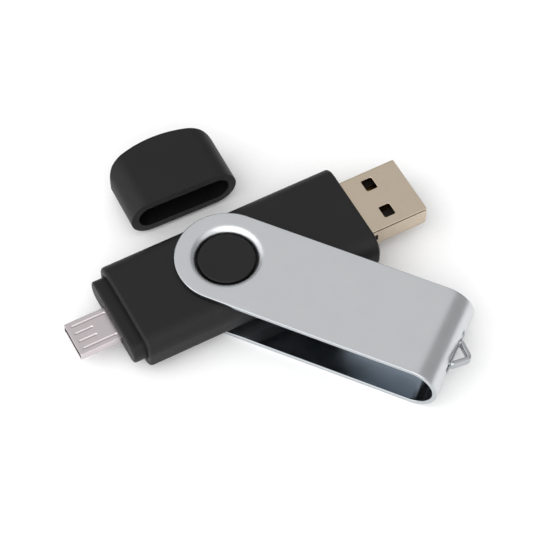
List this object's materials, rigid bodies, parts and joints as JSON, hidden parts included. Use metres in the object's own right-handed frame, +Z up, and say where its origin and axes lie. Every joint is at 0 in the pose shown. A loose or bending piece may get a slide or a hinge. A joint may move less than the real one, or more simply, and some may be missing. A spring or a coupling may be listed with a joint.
{
  "type": "usb flash drive",
  "caption": "Flat two-ended flash drive: wide plug at one end, small plug at the other, swivelling sheet-steel clip with a key ring loop, and a loose push-on cap.",
  "frame": {"origin": "centre of the whole object's footprint, on the surface that the clip's lower leaf and so the drive lies on", "axes": "+X along the housing towards the type A plug, +Y towards the side where the cap lies, +Z up through the clip's two leaves"},
  "size_m": [0.0644, 0.0668, 0.0096],
  "materials": {
    "black_abs": "fine satin mould texture",
    "black_abs_cap": "fine satin mould texture",
    "black_lcp": "moulded, slightly glossy",
    "warm_nickel": "satin nickel plate",
    "pale_nickel": "satin nickel plate",
    "gold_contact": "thin gold plate",
    "board_laminate": "solder mask",
    "chip_resin": "moulded resin",
    "ceramic": "fired ceramic with tinned ends",
    "tinned_can": "tinned steel",
    "satin_chrome": "bead-blasted, then chrome plated",
    "bright_chrome": "polished chrome plate"
  },
  "bodies": {
    "housing": {"upper_housing": "black_abs", "lower_housing": "black_abs", "plug_collar": "black_abs", "usb_a_shell": "warm_nickel", "usb_a_tongue": "black_lcp", "usb_a_contact_1": "gold_contact", "usb_a_contact_2": "gold_contact", "usb_a_contact_3": "gold_contact", "usb_a_contact_4": "gold_contact", "micro_usb_shell": "pale_nickel", "micro_usb_tongue": "black_lcp", "micro_usb_contact_1": "gold_contact", "micro_usb_contact_2": "gold_contact", "micro_usb_contact_3": "gold_contact", "micro_usb_contact_4": "gold_contact", "micro_usb_contact_5": "gold_contact", "micro_usb_latch_left": "pale_nickel", "micro_usb_latch_right": "pale_nickel", "circuit_board": "board_laminate", "flash_memory_chip": "chip_resin", "controller_chip": "chip_resin", "crystal": "tinned_can", "capacitor_1": "ceramic", "capacitor_2": "ceramic", "capacitor_3": "ceramic", "capacitor_4": "ceramic", "resistor_1": "chip_resin", "resistor_2": "chip_resin", "resistor_3": "chip_resin", "resistor_4": "chip_resin"},
    "clip": {"swivel_clip": "satin_chrome", "keyring_loop": "bright_chrome"},
    "cap": {"cap": "black_abs_cap"}
  },
  "joints": [
    {"name": "clip_swivel", "type": "hinge", "parent": "housing", "child": "clip", "pos_m": [-0.00328, 0.00444, 0.0048], "axis": [0, 0, 1], "continuous": true},
    {"name": "cap_pull_off", "type": "slide", "parent": "housing", "child": "cap", "axis": [0.0262, 0.9997, 0], "range_m": [0, 0.0097]}
  ]
}
